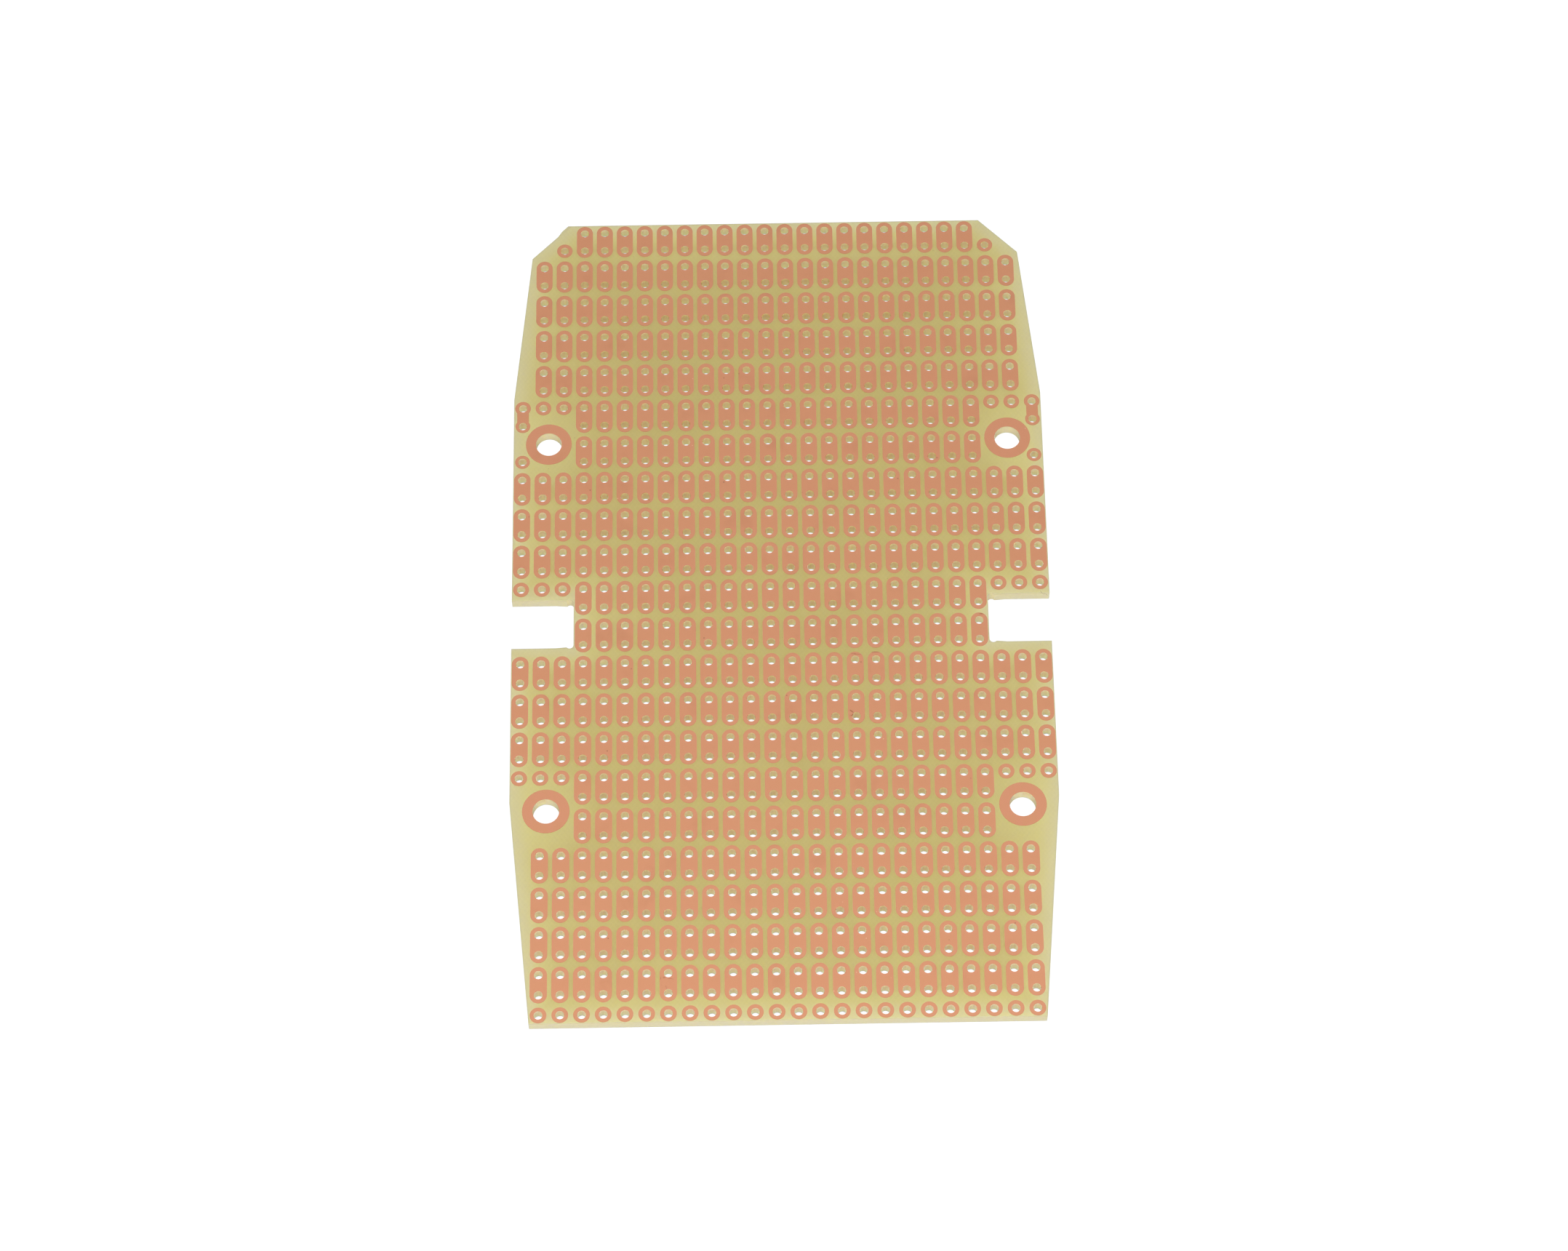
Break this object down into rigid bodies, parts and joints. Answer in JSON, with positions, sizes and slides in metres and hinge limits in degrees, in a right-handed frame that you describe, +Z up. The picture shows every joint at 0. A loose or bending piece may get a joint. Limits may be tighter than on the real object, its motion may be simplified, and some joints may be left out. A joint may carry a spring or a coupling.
{
  "type": "prototype board",
  "caption": "Perforated circuit board with paired copper pads on a tenth-inch grid, chamfered far corners, side notches and ringed mounting holes.",
  "frame": {"origin": "centre of the sheet's box, on the underside", "axes": "+Z up out of the copper side, +Y along the length towards the chamfered far end, +X to the right"},
  "size_m": [0.0658, 0.1088, 0.0016],
  "materials": {
    "laminate": "glass-fibre reinforced epoxy sheet, pale yellow-green, slightly translucent, satin face and paler rough cut edges",
    "copper": "bare copper foil, satin, finely scratched and faintly tarnished"
  },
  "bodies": {
    "root": {"laminate": "laminate", "pad_row_1": "copper", "pad_row_2": "copper", "pad_row_3": "copper", "pad_row_4": "copper", "pad_row_5": "copper", "pad_row_6": "copper", "pad_row_7": "copper", "pad_row_8": "copper", "pad_row_9": "copper", "pad_row_10": "copper", "pad_row_11": "copper", "pad_row_12": "copper", "pad_row_13": "copper", "pad_row_14": "copper", "pad_row_15": "copper", "pad_row_16": "copper", "pad_row_17": "copper", "pad_row_18": "copper", "pad_row_19": "copper", "pad_row_20": "copper", "pad_row_21": "copper", "near_row_pads": "copper", "side_pads": "copper", "mounting_rings": "copper"}
  },
  "joints": []
}
